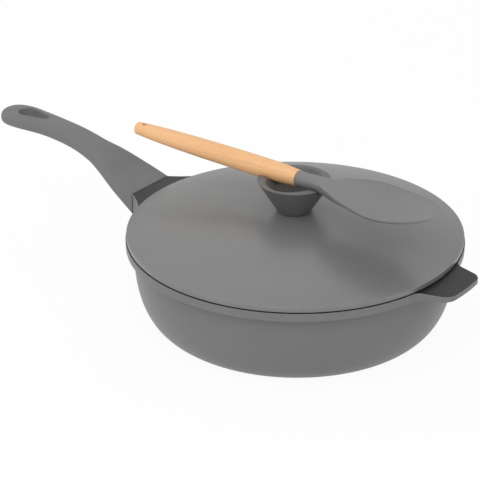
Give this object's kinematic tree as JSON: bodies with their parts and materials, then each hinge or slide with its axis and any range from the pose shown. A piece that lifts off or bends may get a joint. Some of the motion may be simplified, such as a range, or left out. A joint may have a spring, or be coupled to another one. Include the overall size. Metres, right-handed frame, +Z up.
{
  "type": "saute pan with lid",
  "caption": "Deep two-handled saute pan with a domed lid whose funnel knob carries a wooden-handled spoon.",
  "frame": {"origin": "middle of the pan's flat base, on the surface that it stands on", "axes": "+Z up along the pan's and lid's axis, -X along the long grip, +X along the helper handle and towards the spoon's head, +Y across"},
  "size_m": [0.5064, 0.289, 0.1371],
  "materials": {
    "pan_coating": "cast aluminium, satin grey coat outside, dark non-stick coat inside",
    "plate_steel": "turned stainless steel",
    "grip_plastic": "matt soft-touch grey",
    "fastener_steel": "zinc plated",
    "lid_coating": "satin grey coat",
    "knob_plastic": "matt grey moulding",
    "insert_brass": "turned",
    "beech": "sanded and oiled",
    "silicone": "matt grey silicone",
    "core_plastic": "moulded"
  },
  "bodies": {
    "pan": {"pan_body": "pan_coating", "induction_plate": "plate_steel", "handle_grip": "grip_plastic", "handle_screw": "fastener_steel", "handle_washer": "fastener_steel"},
    "lid": {"lid_shell": "lid_coating", "lid_knob": "knob_plastic", "knob_insert": "insert_brass", "knob_screw": "fastener_steel", "knob_washer": "fastener_steel"},
    "spoon": {"spoon_handle": "beech", "spoon_head": "silicone", "spoon_core": "core_plastic"}
  },
  "joints": [
    {"name": "lid_lift", "type": "slide", "parent": "pan", "child": "lid", "axis": [0, 0, 1], "range_m": [0, 0.22]},
    {"name": "spoon_lift", "type": "slide", "parent": "lid", "child": "spoon", "axis": [0, 0, 1], "range_m": [0, 0.12]}
  ]
}
